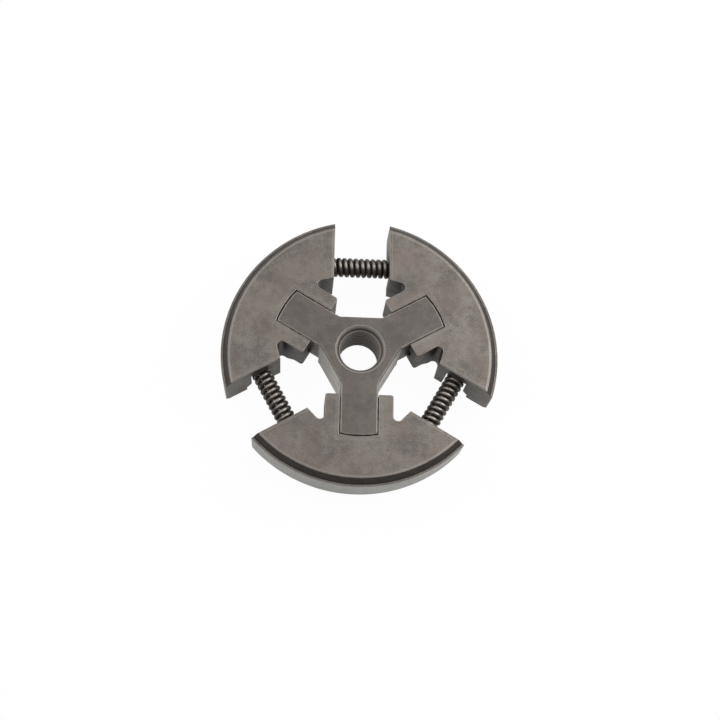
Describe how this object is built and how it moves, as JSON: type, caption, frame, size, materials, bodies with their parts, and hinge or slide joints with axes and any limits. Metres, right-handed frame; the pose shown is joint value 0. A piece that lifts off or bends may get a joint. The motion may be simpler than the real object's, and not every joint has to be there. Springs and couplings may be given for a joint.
{
  "type": "chainsaw clutch",
  "caption": "Centrifugal chainsaw clutch: sliding sintered shoes on a threaded star hub, held in by tension springs and thrown out against a drum at speed.",
  "frame": {"origin": "on the crank axis at the middle of the shoes' thickness", "axes": "+Z along the crank axis towards the front face, the first shoe along -Y"},
  "size_m": [0.0734, 0.0727, 0.0154],
  "materials": {
    "hub_steel": "matt grey sintered steel with bright worn edges",
    "shoe_steel": "matt warm grey sintered steel, its rim turned and its bevel dark",
    "spring_steel": "black oiled spring wire"
  },
  "bodies": {
    "hub": {"hub": "hub_steel", "spring_1": "spring_steel", "spring_2": "spring_steel", "spring_3": "spring_steel"},
    "shoe_1": {"shoe_1": "shoe_steel"},
    "shoe_2": {"shoe_2": "shoe_steel"},
    "shoe_3": {"shoe_3": "shoe_steel"}
  },
  "joints": [
    {"name": "shoe_1_slide", "type": "slide", "parent": "hub", "child": "shoe_1", "axis": [0, -1, 0], "range_m": [0, 0.0015], "stiffness_N_per_m": 26000, "springref_m": -0.0004, "deforming": ["spring_1", "spring_3"]},
    {"name": "shoe_2_slide", "type": "slide", "parent": "hub", "child": "shoe_2", "axis": [0.866, 0.5, 0], "range_m": [0, 0.0015], "stiffness_N_per_m": 26000, "springref_m": -0.0004, "deforming": ["spring_1", "spring_2"]},
    {"name": "shoe_3_slide", "type": "slide", "parent": "hub", "child": "shoe_3", "axis": [-0.866, 0.5, 0], "range_m": [0, 0.0015], "stiffness_N_per_m": 26000, "springref_m": -0.0004, "deforming": ["spring_2", "spring_3"]}
  ]
}
